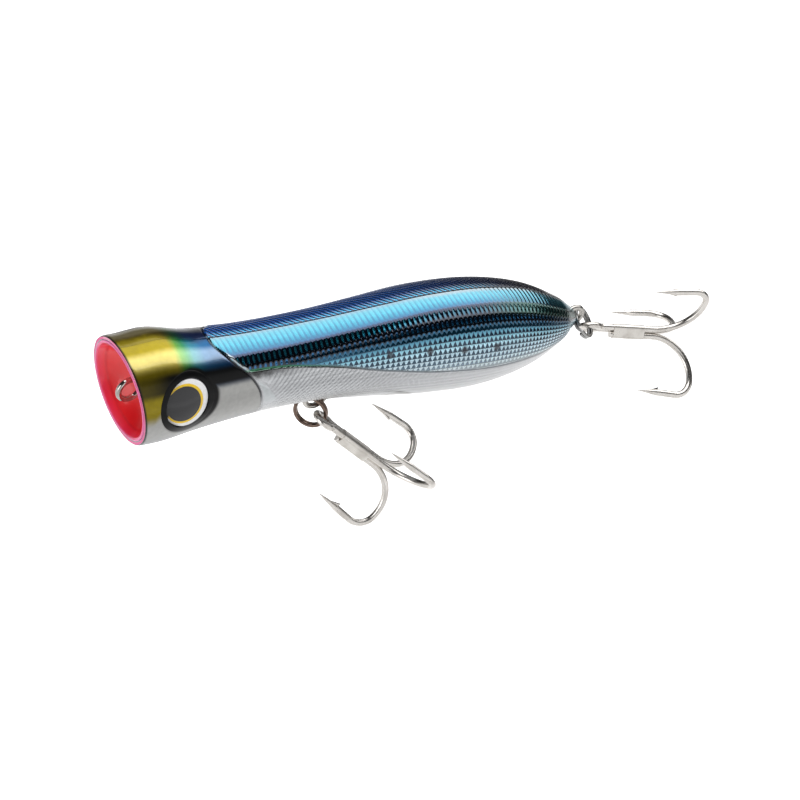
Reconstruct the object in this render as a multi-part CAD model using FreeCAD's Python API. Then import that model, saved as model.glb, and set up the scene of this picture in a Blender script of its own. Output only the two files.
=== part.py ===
import FreeCAD, Part
import math
import os

from FreeCAD import Matrix, Placement, Vector

# Topwater popper, a cup-faced floating fishing lure. Millimetres.
# Origin: centre of the tow eye's hole. +X runs to the tail, +Z is the back, -Y is the fish's left.

# Body shell
bodyLength = 120.0          # mouth plane to the tip of the tail, on the axis
bodyRadius = 12.2           # largest radius, at the shoulder of the belly
wallThickness = 1.5
towEyeInset = 2.4           # tow eye's hole centre behind the middle of the mouth plane
mouthTilt = 14.5            # degrees; the upper lip reaches further forward
noseBlockLength = 17.4      # solid plastic behind the mouth plane
tailBlockLength = 13.0      # solid plastic in front of the tip of the tail
fitGap = 0.05               # clearance of every moulded or glued seat

# Outline: share of the length, share of the largest radius, height of the section's centre
bodyStations = [
    (-0.06, 0.975, -0.2),
    (0.00, 0.980, 0.0),
    (0.06, 0.992, 0.5),
    (0.14, 0.876, 0.4),
    (0.25, 0.807, 1.1),
    (0.38, 0.810, 1.9),
    (0.50, 0.899, 2.1),
    (0.62, 1.000, 2.05),
    (0.74, 0.998, 1.8),
    (0.85, 0.818, 1.7),
    (0.94, 0.480, 1.5),
    (0.985, 0.190, 1.4),
]
sectionCount = 32           # sections that the smooth skin passes through

# Mouth cup, a glued dish
cupDepth = 6.8
cupLip = 0.8                # plastic of the shell left around the cup
cupThickness = 0.7

# Through wire, one bent stainless wire with an eye at the nose, belly and tail
wireDiameter = 1.3
legGap = 1.5                # centre distance of two legs that run side by side
flareRadius = 1.2           # small bend between a leg and its eye
towEyeRadius = 2.55         # the three eyes, to the wire's centre line
bellyEyeRadius = 2.65
tailEyeRadius = 2.35
bellyEyeX = 49.6
bellyEyeDrop = 2.4          # belly eye's centre below the skin
tailEyeOut = 0.9            # tail eye's centre behind the tip of the body
tailEyeZ = 1.5
bellyBendRadius = 3.0
stepBendRadius = 20.0
freeLegLength = 12.0        # short end of the wire beyond the nose and tail eyes

# Eyes
eyeX = 7.2
eyeAngle = 16.0             # degrees above the side line
eyeRadius = 5.4
eyeDiscThickness = 0.5
eyeDiscDepth = 1.25         # disc's face below the skin's crest
eyeDomeRise = 1.2

# Ribs, ballast and rattle inside the hollow
ribThickness = 1.4
frontRibs = [24.0, 38.0]
chamberStart = 60.0         # face of the wall in front of the rattle and the belly weight
ballRadius = 2.5
ballCount = 3
ballTravel = 5.6            # each way from the middle
ballZ = 5.8
chamberRibCount = 3
weightRadius = 3.4
weightZ = -4.4
tailWeightRadius = 2.6
tailWeightLength = 8.0
tailWeightStart = 94.5
tailWeightZ = -3.2

# Locating pins on the left half
pinRadius = 0.8
pinLength = 2.6
nosePinX = 14.0             # behind the mouth plane
nosePinZ = [6.6, -6.2]
tailPinX = 6.4              # in front of the tip of the body
tailPinZ = 5.2

# Split rings, two touching turns of flattened wire
ringOuterRadius = 3.9
ringBand = 0.75             # radial thickness
ringTurn = 0.66             # width of one turn along the ring's axis
ringTurnGap = 0.04
ringCorner = 0.2
ringCrossover = 30.0        # degrees in which the wire changes from one turn to the other
ringSeat = 0.9              # how far a ring's corners hold it off its eye

# Treble hooks: a double hook whose wire forms the eye, and a single hook brazed to it
hookWire = 1.6
hookSeam = 0.05             # gap between two shanks, side by side
hookEyeRadius = 2.2
hookFlare = 2.0
hookShank = 15.8
hookWideBend = 9.4
hookWideTurn = 95.0
hookTightBend = 3.7
hookTightTurn = 89.6
hookLeg = 4.4
hookPoint = 5.2             # tapered end
hookTip = 0.12
singleStart = 5.0
barbSetback = 3.6           # barb's root behind the tip
barbLength = 1.8
barbRise = 0.75
barbThickness = 0.5
brazeStart = 5.6
brazeEnd = 13.4
brazeSkin = 0.12
brazeGap = 0.01

# How the rings and hooks hang at rest
bellyRingDown = Vector(0, 0, -1)
bellyRingNormal = Vector(-0.75, -0.66, 0)
bellyHookAngle = -15.0      # degrees up the ring from its level side
bellyHookInset = -0.1       # hook eye's centre inside the ring's band
bellyShank = Vector(0.757, -0.448, -0.475)
bellySingle = Vector(-0.540, 0.041, -0.841)
tailContactAngle = -25.0    # degrees round the tail eye from +X
tailRingDown = Vector(0.674, -0.316, -0.667)
tailRingNormal = Vector(0.50, -0.47, 0.727)
tailHookSide = Vector(0.835, 0.039, -0.549)
tailHookInset = 0.0
tailShank = Vector(0.960, -0.281, 0.006)
tailSingle = Vector(-0.220, -0.724, -0.654)

axisX = Vector(1, 0, 0)
axisY = Vector(0, 1, 0)
axisZ = Vector(0, 0, 1)
mouthX = -towEyeInset
bodyEnd = mouthX + bodyStations[-1][0] * bodyLength
wireRadius = wireDiameter / 2
ringMiddle = ringOuterRadius - ringBand / 2
ringInner = ringOuterRadius - ringBand
hookBundle = (hookWire + hookSeam) / math.sqrt(3)    # shank's distance from the treble's axis


def unit(vector):
    return Vector(vector).normalize()


def square(vector, reference):
    """Unit vector: the part of vector square to reference."""
    base = unit(reference)
    return unit(vector - base * vector.dot(base))


def bodySection(x):
    """Radius and centre height of the skin at x, by a smooth curve through the stations."""
    share = (x - mouthX) / bodyLength
    last = len(bodyStations) - 1
    index = 0
    while index < last - 1 and share > bodyStations[index + 1][0]:
        index += 1
    before = bodyStations[max(index - 1, 0)]
    start = bodyStations[index]
    end = bodyStations[index + 1]
    after = bodyStations[min(index + 2, last)]
    span = end[0] - start[0]
    t = (share - start[0]) / span
    values = []
    for column in (1, 2):
        startSlope = (end[column] - before[column]) / (end[0] - before[0]) * span
        endSlope = (after[column] - start[column]) / (after[0] - start[0]) * span
        startPart = (1 + 2 * t) * (1 - t) ** 2 * start[column] + t * (1 - t) ** 2 * startSlope
        endPart = t * t * (3 - 2 * t) * end[column] + t * t * (t - 1) * endSlope
        values.append(startPart + endPart)
    return values[0] * bodyRadius, values[1]


def skin(xStart, xEnd, inset, count):
    """Solid through circular sections, inset from the outside of the body."""
    sections = []
    for index in range(count):
        x = xStart + (xEnd - xStart) * index / (count - 1)
        radius, height = bodySection(x)
        circle = Part.makeCircle(radius - inset, Vector(x, 0, height), axisX)
        sections.append(Part.Wire([circle]))
    return Part.makeLoft(sections, True, False)


def rod(xStart, xEnd, radius, z):
    return Part.makeCylinder(radius, xEnd - xStart, Vector(xStart, 0, z), axisX)


def bentWire(start, heading, normal, moves, radius):
    """Round wire of straight runs (length,) and arcs (bend radius, degrees) in one plane."""
    point = Vector(start)
    direction = unit(heading)
    pieces = []
    for move in moves:
        if len(move) == 1:
            pieces.append(Part.makeCylinder(radius, move[0], point, direction))
            point = point + direction * move[0]
            continue
        bend, degrees = move
        side = 1 if degrees > 0 else -1
        turnAxis = unit(normal) * side
        centre = point + turnAxis.cross(direction) * bend
        face = Part.Face(Part.Wire([Part.makeCircle(radius, point, direction)]))
        pieces.append(face.revolve(centre, turnAxis, abs(degrees)))
        turn = FreeCAD.Rotation(turnAxis, abs(degrees))
        point = centre + turn.multVec(point - centre)
        direction = turn.multVec(direction)
    return pieces, point, direction


def joined(pieces):
    return pieces[0].multiFuse(pieces[1:]).removeSplitter()


def eyeTurn(radius, gap, flare):
    """Degrees that a leg flares before the eye's own arc."""
    return math.degrees(math.acos((gap / 2 + flare) / (radius + flare)))


def eyeMoves(radius, gap, flare):
    turn = eyeTurn(radius, gap, flare)
    return [(flare, -turn), (radius, 180 + 2 * turn), (flare, -turn)]


def eyeReach(radius, gap, flare):
    """Distance from the end of the legs to the eye's centre."""
    return (radius + flare) * math.sin(math.radians(eyeTurn(radius, gap, flare)))


def bellyEyeCentre():
    radius, height = bodySection(bellyEyeX)
    return Vector(bellyEyeX, 0, height - radius - bellyEyeDrop)


def tailEyeCentre():
    return Vector(bodyEnd + tailEyeOut, 0, tailEyeZ)


def throughWire(radius):
    """The wire's solid, or with a larger radius the channel that holds it."""
    half = legGap / 2
    noseReach = eyeReach(towEyeRadius, legGap, flareRadius)
    bellyReach = eyeReach(bellyEyeRadius, legGap, flareRadius)
    tailReach = eyeReach(tailEyeRadius, legGap, flareRadius)
    belly = bellyEyeCentre()
    tail = tailEyeCentre()
    drop = -half - bellyBendRadius - (belly.z + bellyReach)
    rise = tail.z
    stepTurn = math.degrees(math.acos(1 - rise / (2 * stepBendRadius)))
    stepLength = 2 * stepBendRadius * math.sin(math.radians(stepTurn))
    toBelly = belly.x - half - bellyBendRadius - noseReach
    toTail = tail.x - tailReach - (belly.x + half + bellyBendRadius) - stepLength
    moves = [(freeLegLength,)] + eyeMoves(towEyeRadius, legGap, flareRadius)
    moves += [(toBelly,), (bellyBendRadius, -90), (drop,)]
    moves += eyeMoves(bellyEyeRadius, legGap, flareRadius)
    moves += [(drop,), (bellyBendRadius, -90), (stepBendRadius, stepTurn), (stepBendRadius, -stepTurn)]
    moves += [(toTail,)] + eyeMoves(tailEyeRadius, legGap, flareRadius) + [(freeLegLength,)]
    start = Vector(noseReach + freeLegLength, 0, half)
    pieces, point, direction = bentWire(start, -axisX, -axisY, moves, radius)
    return joined(pieces)


def cupSphere(offset):
    """Ball whose surface is the cup's hollow side, or its back when offset by the thickness."""
    hollowRadius = bodySection(mouthX)[0] - cupLip - cupThickness
    radius = (hollowRadius ** 2 + cupDepth ** 2) / (2 * cupDepth)
    tilt = math.radians(mouthTilt)
    inward = Vector(math.cos(tilt), 0, math.sin(tilt))
    centre = Vector(mouthX, 0, 0) + inward * (cupDepth - radius)
    return Part.makeSphere(radius + offset, centre, inward, -90, 90, 360)


def frontOfMouth():
    """Block of everything in front of the tilted mouth plane."""
    size = 4 * bodyRadius
    block = Part.makeBox(size, size, size, Vector(-size, -size / 2, -size / 2))
    block.rotate(Vector(0, 0, 0), axisY, -mouthTilt)
    block.translate(Vector(mouthX, 0, 0))
    return block


def mouthCup(channel):
    dish = cupSphere(cupThickness).cut(cupSphere(0))
    return dish.cut(frontOfMouth()).cut(channel)


def chamberEnd():
    return chamberStart + ribThickness + ballCount * 2 * ballRadius + 2 * ballTravel


def ribs(hollow):
    """Cross walls of the hollow, as discs that fill it over their thickness."""
    starts = list(frontRibs) + [chamberStart, chamberEnd()]
    pitch = (chamberEnd() - chamberStart) / (chamberRibCount + 1)
    for index in range(chamberRibCount):
        starts.append(chamberStart + pitch * (index + 1))
    starts.append(tailWeightStart - ribThickness)
    walls = []
    for start in starts:
        slab = Part.makeBox(ribThickness, 4 * bodyRadius, 4 * bodyRadius,
                            Vector(start, -2 * bodyRadius, -2 * bodyRadius))
        walls.append(slab.common(hollow))
    return walls


def bellyWeight(gap):
    start = chamberStart + ribThickness
    return rod(start + fitGap - gap, chamberEnd() - fitGap + gap, weightRadius + gap, weightZ)


def tailWeight(gap):
    start = tailWeightStart
    return rod(start - gap, start + tailWeightLength + gap, tailWeightRadius + gap, tailWeightZ)


def eyeAxis(side):
    """Crest point of the skin under an eye, and the direction out of it."""
    angle = math.radians(eyeAngle)
    outward = Vector(0, side * math.cos(angle), math.sin(angle))
    radius, height = bodySection(eyeX)
    return Vector(eyeX, 0, height) + outward * radius, outward


def eyeDisc(side):
    crest, outward = eyeAxis(side)
    base = crest - outward * (eyeDiscDepth + eyeDiscThickness)
    return Part.makeCylinder(eyeRadius, eyeDiscThickness, base, outward)


def eyeLens(side):
    crest, outward = eyeAxis(side)
    radius = (eyeRadius ** 2 + eyeDomeRise ** 2) / (2 * eyeDomeRise)
    base = crest - outward * eyeDiscDepth
    ball = Part.makeSphere(radius, base + outward * (eyeDomeRise - radius))
    return ball.common(Part.makeCylinder(eyeRadius, 2 * eyeDomeRise, base, outward))


def eyeSocket(side):
    crest, outward = eyeAxis(side)
    base = crest - outward * (eyeDiscDepth + eyeDiscThickness)
    return Part.makeCylinder(eyeRadius + fitGap, eyeDiscDepth + bodyRadius / 2, base, outward)


def wholeShell(channel):
    """Both halves in one piece, hollow, with every seat cut."""
    xStart = mouthX + bodyStations[0][0] * bodyLength
    outside = skin(xStart, bodyEnd, 0, sectionCount)
    hollow = skin(mouthX + noseBlockLength, bodyEnd - tailBlockLength, wallThickness, sectionCount)
    shell = outside.cut(frontOfMouth()).cut(cupSphere(cupThickness + fitGap)).cut(hollow)
    shell = shell.multiFuse(ribs(hollow))
    raceway = rod(chamberStart + ribThickness, chamberEnd(), ballRadius + fitGap, ballZ)
    cuts = [channel, raceway, bellyWeight(fitGap), tailWeight(fitGap), eyeSocket(-1), eyeSocket(1)]
    return shell.cut(Part.makeCompound(cuts))


def pins(side, gap):
    seats = [Vector(mouthX + nosePinX, 0, z) for z in nosePinZ]
    seats.append(Vector(bodyEnd - tailPinX, 0, tailPinZ))
    return [Part.makeCylinder(pinRadius + gap, pinLength + gap, seat, axisY * side) for seat in seats]


def shellHalves(channel):
    whole = wholeShell(channel)
    reach = 2 * bodyRadius
    block = Part.makeBox(2 * bodyLength, reach, 2 * reach, Vector(-bodyLength / 2, 0, -reach))
    right = whole.common(block).cut(Part.makeCompound(pins(1, fitGap)))
    left = whole.cut(block).multiFuse(pins(1, 0))
    return left, right


def ringSection(height):
    """Outline of one turn at ring angle zero, with rounded corners."""
    low = height - ringTurn / 2
    outline = Part.makePolygon([Vector(ringInner, 0, low), Vector(ringOuterRadius, 0, low),
                                Vector(ringOuterRadius, 0, low + ringTurn),
                                Vector(ringInner, 0, low + ringTurn), Vector(ringInner, 0, low)])
    inset = outline.makeOffset2D(-ringCorner)
    return inset.makeOffset2D(ringCorner)


def splitRing(centre, normal, reference):
    """Two flat turns joined by a short crossover. The reference direction is ring angle zero."""
    step = ringTurn + ringTurnGap
    flat = 360 - ringCrossover
    lower = Part.Face(ringSection(-step / 2)).revolve(Vector(0, 0, 0), axisZ, flat)
    upper = Part.Face(ringSection(step / 2)).revolve(Vector(0, 0, 0), axisZ, flat)
    sections = []
    for index in range(7):
        t = index / 6
        section = ringSection(step * (t * t * (3 - 2 * t) - 0.5))
        section.rotate(Vector(0, 0, 0), axisZ, flat + ringCrossover * t)
        sections.append(section)
    ring = joined([lower, Part.makeLoft(sections, True, False), upper])
    ring.rotate(Vector(0, 0, 0), axisZ, 180 - ringCrossover / 2)
    return placed(ring, centre, reference, normal)


def placed(shape, origin, xDirection, zDirection):
    """Copy of the shape with its own X and Z turned to the given directions."""
    z = unit(zDirection)
    x = square(xDirection, z)
    y = z.cross(x)
    matrix = Matrix(x.x, y.x, z.x, origin.x, x.y, y.y, z.y, origin.y, x.z, y.z, z.z, origin.z, 0, 0, 0, 1)
    result = shape.copy()
    result.Placement = Placement(matrix)
    return result


def hookBend(start, radial, radius, straight):
    """Bend, leg, point and barb of one hook. Its plane holds +X and the radial direction."""
    normal = axisX.cross(radial)
    moves = [(straight,), (hookWideBend, hookWideTurn), (hookTightBend, hookTightTurn), (hookLeg,)]
    pieces, point, direction = bentWire(start, axisX, normal, moves, radius)
    pieces.append(Part.makeCone(radius, hookTip, hookPoint, point, direction))
    tip = point + direction * hookPoint
    inward = normal.cross(direction)
    root = tip - direction * barbSetback
    rootRadius = hookTip + (radius - hookTip) * barbSetback / hookPoint
    corners = [root, root + inward * rootRadius,
               root - direction * barbLength + inward * (rootRadius + barbRise),
               root - direction * (barbLength * 0.75) + inward * rootRadius * 0.6]
    side = normal * (barbThickness / 2)
    outline = Part.makePolygon([corner - side for corner in corners + corners[:1]])
    pieces.append(Part.Face(outline).extrude(side * 2))
    return pieces


def doubleHook():
    """Eye and two shanks in the plane Z = 0, each shank turning out 120 degrees from +Z."""
    radius = hookWire / 2
    half = hookBundle * math.sin(math.radians(120))
    reach = eyeReach(hookEyeRadius, 2 * half, hookFlare)
    eye, point, direction = bentWire(Vector(reach, half, 0), -axisX, axisZ,
                                     eyeMoves(hookEyeRadius, 2 * half, hookFlare), radius)
    pieces = list(eye)
    for side in (-1, 1):
        radial = Vector(0, side * math.sin(math.radians(120)), math.cos(math.radians(120)))
        pieces += hookBend(Vector(reach, side * half, 0), radial, radius, hookShank - reach)
    return joined(pieces)


def singleHook():
    start = Vector(singleStart, 0, 1.5 * hookBundle)
    return joined(hookBend(start, axisZ, hookWire / 2, hookShank - singleStart))


def hookBraze():
    """Filler that wraps the three shanks."""
    half = hookBundle * math.sin(math.radians(120))
    seats = [Vector(brazeStart, -half, 0), Vector(brazeStart, half, 0),
             Vector(brazeStart, 0, 1.5 * hookBundle)]
    outline = Part.makePolygon(seats + seats[:1]).makeOffset2D(hookWire / 2 + brazeSkin)
    length = brazeEnd - brazeStart
    body = Part.Face(outline).extrude(axisX * length)
    for seat in seats:
        body = body.cut(Part.makeCylinder(hookWire / 2 + brazeGap, length, seat, axisX))
    return body


def trebleHook(name, eyeCentre, shank, single):
    """The three pieces of a treble hook, hung with its eye at a point."""
    pieces = {"double_hook": doubleHook(), "single_hook": singleHook(), "hook_braze": hookBraze()}
    direction = unit(shank)
    return {name + "_" + key: placed(shape, eyeCentre, direction, square(single, direction))
            for key, shape in pieces.items()}


def rattleBalls():
    middle = (chamberStart + ribThickness + chamberEnd()) / 2
    names = ["front", "mid", "rear"]
    balls = {}
    for index, name in enumerate(names):
        x = middle + (index - (ballCount - 1) / 2) * 2 * ballRadius
        balls["rattle_ball_" + name] = Part.makeSphere(ballRadius, Vector(x, 0, ballZ))
    return balls


def ringCentre(eyeCentre, eyeWireRadius, contact, down):
    """Centre of a ring that hangs from the wire of an eye at the contact direction."""
    wirePoint = eyeCentre + unit(contact) * eyeWireRadius
    return wirePoint + unit(down) * (ringInner - wireRadius - ringSeat)


def bellyTackle():
    down = bellyRingDown
    centre = ringCentre(bellyEyeCentre(), bellyEyeRadius, down, down)
    level = unit(bellyRingNormal.cross(down))
    angle = math.radians(bellyHookAngle)
    side = level * math.cos(angle) - unit(down) * math.sin(angle)
    parts = {"belly_split_ring": splitRing(centre, bellyRingNormal, level)}
    eye = centre + side * (ringMiddle - bellyHookInset)
    parts.update(trebleHook("belly", eye, bellyShank, bellySingle))
    return parts


def tailTackle():
    angle = math.radians(tailContactAngle)
    contact = Vector(math.cos(angle), 0, math.sin(angle))
    down = square(tailRingDown, tailRingNormal)
    centre = ringCentre(tailEyeCentre(), tailEyeRadius, contact, down)
    side = square(tailHookSide, tailRingNormal)
    parts = {"tail_split_ring": splitRing(centre, tailRingNormal, down.cross(unit(tailRingNormal)))}
    eye = centre + side * (ringMiddle - tailHookInset)
    parts.update(trebleHook("tail", eye, tailShank, tailSingle))
    return parts


def buildParts():
    channel = throughWire(wireRadius + fitGap)
    left, right = shellHalves(channel)
    parts = {"left_shell": left, "right_shell": right, "mouth_cup": mouthCup(channel)}
    parts["through_wire"] = throughWire(wireRadius)
    for name, side in (("left", -1), ("right", 1)):
        parts[name + "_eye_disc"] = eyeDisc(side)
        parts[name + "_eye_lens"] = eyeLens(side)
    parts["belly_ballast"] = bellyWeight(0)
    parts["tail_ballast"] = tailWeight(0)
    parts.update(rattleBalls())
    parts.update(bellyTackle())
    parts.update(tailTackle())
    return parts


os.makedirs("parts", exist_ok=True)
for name, shape in buildParts().items():
    shape.exportStep("parts/" + name + ".step")
    print(name, shape.isValid(), len(shape.Solids), round(shape.Volume, 2))
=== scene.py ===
import math

import bpy
import bmesh
import numpy as np
from mathutils import Matrix, Vector


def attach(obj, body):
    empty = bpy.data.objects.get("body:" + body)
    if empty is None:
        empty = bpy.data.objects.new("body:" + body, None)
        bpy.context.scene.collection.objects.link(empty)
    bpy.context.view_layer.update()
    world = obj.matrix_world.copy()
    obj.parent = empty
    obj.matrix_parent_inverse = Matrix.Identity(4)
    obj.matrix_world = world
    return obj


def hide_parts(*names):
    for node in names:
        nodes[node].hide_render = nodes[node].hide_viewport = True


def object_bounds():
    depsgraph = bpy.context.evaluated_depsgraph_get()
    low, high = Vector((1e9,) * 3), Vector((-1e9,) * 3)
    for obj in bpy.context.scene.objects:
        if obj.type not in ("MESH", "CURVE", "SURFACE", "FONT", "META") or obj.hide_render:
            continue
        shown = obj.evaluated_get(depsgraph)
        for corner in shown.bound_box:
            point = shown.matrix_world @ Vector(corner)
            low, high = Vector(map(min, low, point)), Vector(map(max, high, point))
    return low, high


# Topwater popper: a cup-faced lure in hot-stamped foil under clear lacquer, two rings, two trebles.
# Shapes below are worked out in millimetres and written to the meshes in metres.

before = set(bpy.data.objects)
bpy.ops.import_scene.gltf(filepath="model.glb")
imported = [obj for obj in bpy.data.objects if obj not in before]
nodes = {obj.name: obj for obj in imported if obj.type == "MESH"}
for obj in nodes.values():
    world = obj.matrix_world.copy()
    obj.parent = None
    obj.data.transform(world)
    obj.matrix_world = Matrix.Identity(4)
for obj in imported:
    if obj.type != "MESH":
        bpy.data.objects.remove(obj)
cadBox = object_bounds()
scene = bpy.context.scene
scene.view_settings.view_transform = "Standard"
mm = 0.001


# Small helpers

def hexColour(text):
    channels = [int(text[i:i + 2], 16) / 255 for i in (1, 3, 5)]
    linear = [c / 12.92 if c <= 0.04045 else ((c + 0.055) / 1.055) ** 2.4 for c in channels]
    return (*linear, 1.0)


def addNode(tree, kind, inputs=None, stops=None, **settings):
    # inputs may name sockets or give them in order; a node stands for its first output
    node = tree.nodes.new(kind)
    for name, value in settings.items():
        setattr(node, name, value)
    if inputs is None:
        inputs = {}
    elif not isinstance(inputs, dict):
        inputs = dict(enumerate(inputs))
    for key, value in inputs.items():
        if isinstance(value, bpy.types.Node):
            value = value.outputs[0]
        if isinstance(value, bpy.types.NodeSocket):
            tree.links.new(value, node.inputs[key])
        elif value is not None:
            node.inputs[key].default_value = value
    if stops:
        elements = node.color_ramp.elements
        for place, colour in stops[1:-1]:
            elements.new(place).color = hexColour(colour)
        elements[0].position, elements[0].color = stops[0][0], hexColour(stops[0][1])
        elements[-1].position, elements[-1].color = stops[-1][0], hexColour(stops[-1][1])
    return node


def newMaterial(name):
    # empty tree with its output and shader; returns the three
    material = bpy.data.materials.new(name)
    material.use_nodes = True
    tree = material.node_tree
    tree.nodes.clear()
    shader = addNode(tree, "ShaderNodeBsdfPrincipled")
    addNode(tree, "ShaderNodeOutputMaterial", {"Surface": shader})
    return material, tree, shader


def smoothStep(value, low, high):
    t = np.clip((value - low) / (high - low), 0, 1)
    return t * t * (3 - 2 * t)


def throughPoints(points, places):
    # smooth curve through listed points (place, value, ...), read at the given places
    table = np.array(points, float)
    last = len(table) - 1
    index = np.clip(np.searchsorted(table[:, 0], places) - 1, 0, last - 1)
    before, after = np.maximum(index - 1, 0), np.minimum(index + 2, last)
    start, end = table[index], table[index + 1]
    span = end[..., 0] - start[..., 0]
    t = np.clip((places - start[..., 0]) / span, 0, 1)
    slopeA = (end - table[before]) * (span / (end[..., 0] - table[before][..., 0]))[..., None]
    slopeB = (table[after] - start) * (span / (table[after][..., 0] - start[..., 0]))[..., None]
    t = t[..., None]
    value = (1 + 2 * t) * (1 - t) ** 2 * start + t * (1 - t) ** 2 * slopeA
    value += t * t * (3 - 2 * t) * end + t * t * (t - 1) * slopeB
    return np.moveaxis(value[..., 1:], -1, 0)


def objectFrom(name, positions, faces, values=None):
    # closed mesh from millimetre positions, its point values kept as attributes
    mesh = bpy.data.meshes.new(name)
    mesh.from_pydata((np.asarray(positions) * mm).tolist(), [], faces)
    for key, numbers in (values or {}).items():
        layer = mesh.attributes.new(key, "FLOAT", "POINT")
        layer.data.foreach_set("value", np.asarray(numbers, np.float32))
    work = bmesh.new()
    work.from_mesh(mesh)
    bmesh.ops.remove_doubles(work, verts=work.verts, dist=1e-7)
    bmesh.ops.recalc_face_normals(work, faces=work.faces)
    work.to_mesh(mesh)
    work.free()
    mesh.shade_smooth()
    piece = bpy.data.objects.new(name, mesh)
    scene.collection.objects.link(piece)
    return piece


def gridFaces(rows, columns, first=0, closed=False):
    # quads of a grid whose points are stored row by row
    faces = []
    for row in range(rows if closed else rows - 1):
        low = first + row * columns
        high = first + ((row + 1) % rows) * columns
        faces += [(low + c, low + c + 1, high + c + 1, high + c) for c in range(columns - 1)]
    return faces


# Camera, floor and light

studio = {
    "cameraPlace": (-0.304367, -0.399384, 0.375360),
    "cameraRight": (0.8169, -0.5100, 0.2693),
    "cameraUp": (0.1363, 0.6245, 0.7690),
    "lens": 135.43,             # millimetres, on a sensor this wide
    "sensor": 36.0,
    "nearest": 0.01,
    "floorDrop": 0.30,          # floor below the lure, which hangs in clear air
    "floorSize": 16.0,
    "floorGlow": 0.80,          # as the eye sees it
    "floorReturn": 0.30,        # as the lure's foil sees it
    "boxHeight": 0.60,          # softbox overhead; its near edge draws the bright band on the flank
    "boxY": (-0.128, 0.72),
    "boxX": (-0.45, 1.35),
    "boxRadiance": 2.3,
    "surround": 0.02,
    "cards": {                  # name: middle, size, facing, radiance
        "sideCard": ((1.0, -1.6, 0.55), (4.4, 1.9), (0, 1, 0), 0.85),
        "frontCard": ((-0.9, -0.12, -0.02), (0.6, 0.6), (1, 0.1, 0), 2.2),
    },
}


def buildStudio():
    camera = bpy.data.objects.new("camera", bpy.data.cameras.new("camera"))
    scene.collection.objects.link(camera)
    right = Vector(studio["cameraRight"]).normalized()
    up = Vector(studio["cameraUp"])
    back = right.cross(up).normalized()
    up = back.cross(right)
    turn = Matrix((right, up, back)).transposed().to_4x4()
    camera.matrix_world = Matrix.Translation(studio["cameraPlace"]) @ turn
    camera.data.lens = studio["lens"]
    camera.data.sensor_width = studio["sensor"]
    camera.data.clip_start = studio["nearest"]
    scene.camera = camera

    half = studio["floorSize"] / 2
    level = cadBox[0][2] - studio["floorDrop"]
    corners = [(-half, -half, level), (half, -half, level), (half, half, level), (-half, half, level)]
    mesh = bpy.data.meshes.new("floor")
    mesh.from_pydata(corners, [], [(0, 1, 2, 3)])
    floor = bpy.data.objects.new("floor", mesh)
    scene.collection.objects.link(floor)
    material, tree, shader = newMaterial("litAcrylicSheet")   # opal acrylic lit from below
    grain = addNode(tree, "ShaderNodeTexNoise", {"Scale": 40.0, "Detail": 3.0})
    tone = addNode(tree, "ShaderNodeValToRGB", [grain], stops=[(0.3, "#F2F2F2"), (0.7, "#FAFAFA")])
    shader.inputs["Roughness"].default_value = 0.9
    path = addNode(tree, "ShaderNodeLightPath")
    glow = addNode(tree, "ShaderNodeMapRange", [path.outputs["Is Camera Ray"], 0.0, 1.0,
                                                studio["floorReturn"], studio["floorGlow"]])
    tree.links.new(glow.outputs[0], shader.inputs["Emission Strength"])
    shader.inputs["Emission Color"].default_value = hexColour("#FFFFFF")
    tree.links.new(tone.outputs[0], shader.inputs["Base Color"])
    mesh.materials.append(material)

    (yLow, yHigh), (xLow, xHigh) = studio["boxY"], studio["boxX"]
    area = bpy.data.lights.new("softbox", "AREA")
    area.shape = "RECTANGLE"
    area.size, area.size_y = xHigh - xLow, yHigh - yLow
    area.energy = studio["boxRadiance"] * area.size * area.size_y * math.pi
    softbox = bpy.data.objects.new("softbox", area)
    softbox.location = ((xLow + xHigh) / 2, (yLow + yHigh) / 2, studio["boxHeight"])
    scene.collection.objects.link(softbox)
    for name, (middle, size, facing, radiance) in studio["cards"].items():
        area = bpy.data.lights.new(name, "AREA")
        area.shape = "RECTANGLE"
        area.size, area.size_y = size
        area.energy = radiance * size[0] * size[1] * math.pi
        card = bpy.data.objects.new(name, area)
        card.location = middle
        card.rotation_euler = Vector(facing).to_track_quat("-Z", "Y").to_euler()
        card.visible_camera = False
        scene.collection.objects.link(card)

    world = bpy.data.worlds.new("studioDark")
    world.use_nodes = True
    tree = world.node_tree
    tree.nodes.clear()
    path = addNode(tree, "ShaderNodeLightPath")
    room = addNode(tree, "ShaderNodeBackground", {"Color": hexColour("#FFFFFF"),
                                                  "Strength": studio["surround"]})
    paper = addNode(tree, "ShaderNodeBackground", {"Color": hexColour("#F7F8F8"), "Strength": 1.0})
    both = addNode(tree, "ShaderNodeMixShader", [path.outputs["Is Camera Ray"], room, paper])
    addNode(tree, "ShaderNodeOutputWorld", {"Surface": both})
    scene.world = world
    print("studio ready")


buildStudio()


# Body: outline, and where its lines run over it

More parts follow.
